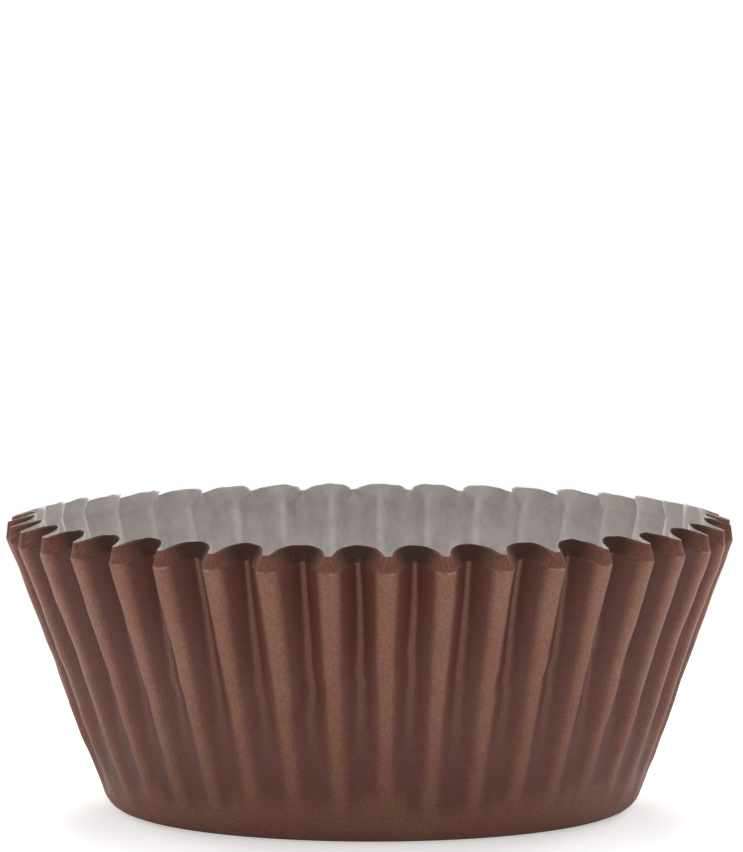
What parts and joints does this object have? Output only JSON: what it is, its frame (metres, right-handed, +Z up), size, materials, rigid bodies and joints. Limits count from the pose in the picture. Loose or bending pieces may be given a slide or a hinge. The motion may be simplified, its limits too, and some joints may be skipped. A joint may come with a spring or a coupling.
{
  "type": "cupcake liner",
  "caption": "Pleated paper baking cup with a flat round bottom, a flared fluted wall and a narrow lip bent in above a crease, open at the top.",
  "frame": {"origin": "middle of the flat bottom, on the surface that the cup stands on", "axes": "+Z up along the axis of the cup, +X to the right and -Y towards the viewer"},
  "size_m": [0.07, 0.07, 0.0285],
  "materials": {
    "paper": "matte brown printed outside, pale greaseproof inside"
  },
  "bodies": {
    "root": {"liner": "paper"}
  },
  "joints": []
}
